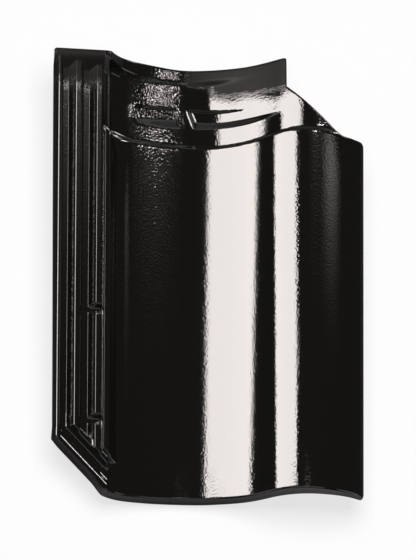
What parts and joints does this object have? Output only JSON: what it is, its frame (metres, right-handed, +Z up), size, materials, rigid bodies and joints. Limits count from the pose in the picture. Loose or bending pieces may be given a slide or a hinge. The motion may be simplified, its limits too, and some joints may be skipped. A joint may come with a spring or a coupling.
{
  "type": "glazed interlocking pantile",
  "caption": "Single-piece glazed clay roof tile with an S-shaped trough and roll, ribbed side lock, head lock with drain gap, cover flap and hanging nibs, for laying in lapped courses on battens",
  "frame": {"origin": "middle of the footprint on the floor, under the tile as it rests on its nose and nibs", "axes": "+X across the tile from the side lock to the cover flap, +Y from foot to head, +Z up out of the weathered face"},
  "size_m": [0.262, 0.4014, 0.0635],
  "materials": {
    "glaze": "high-gloss black glaze with a slight orange-peel texture"
  },
  "bodies": {
    "root": {"pantile": "glaze"}
  },
  "joints": []
}
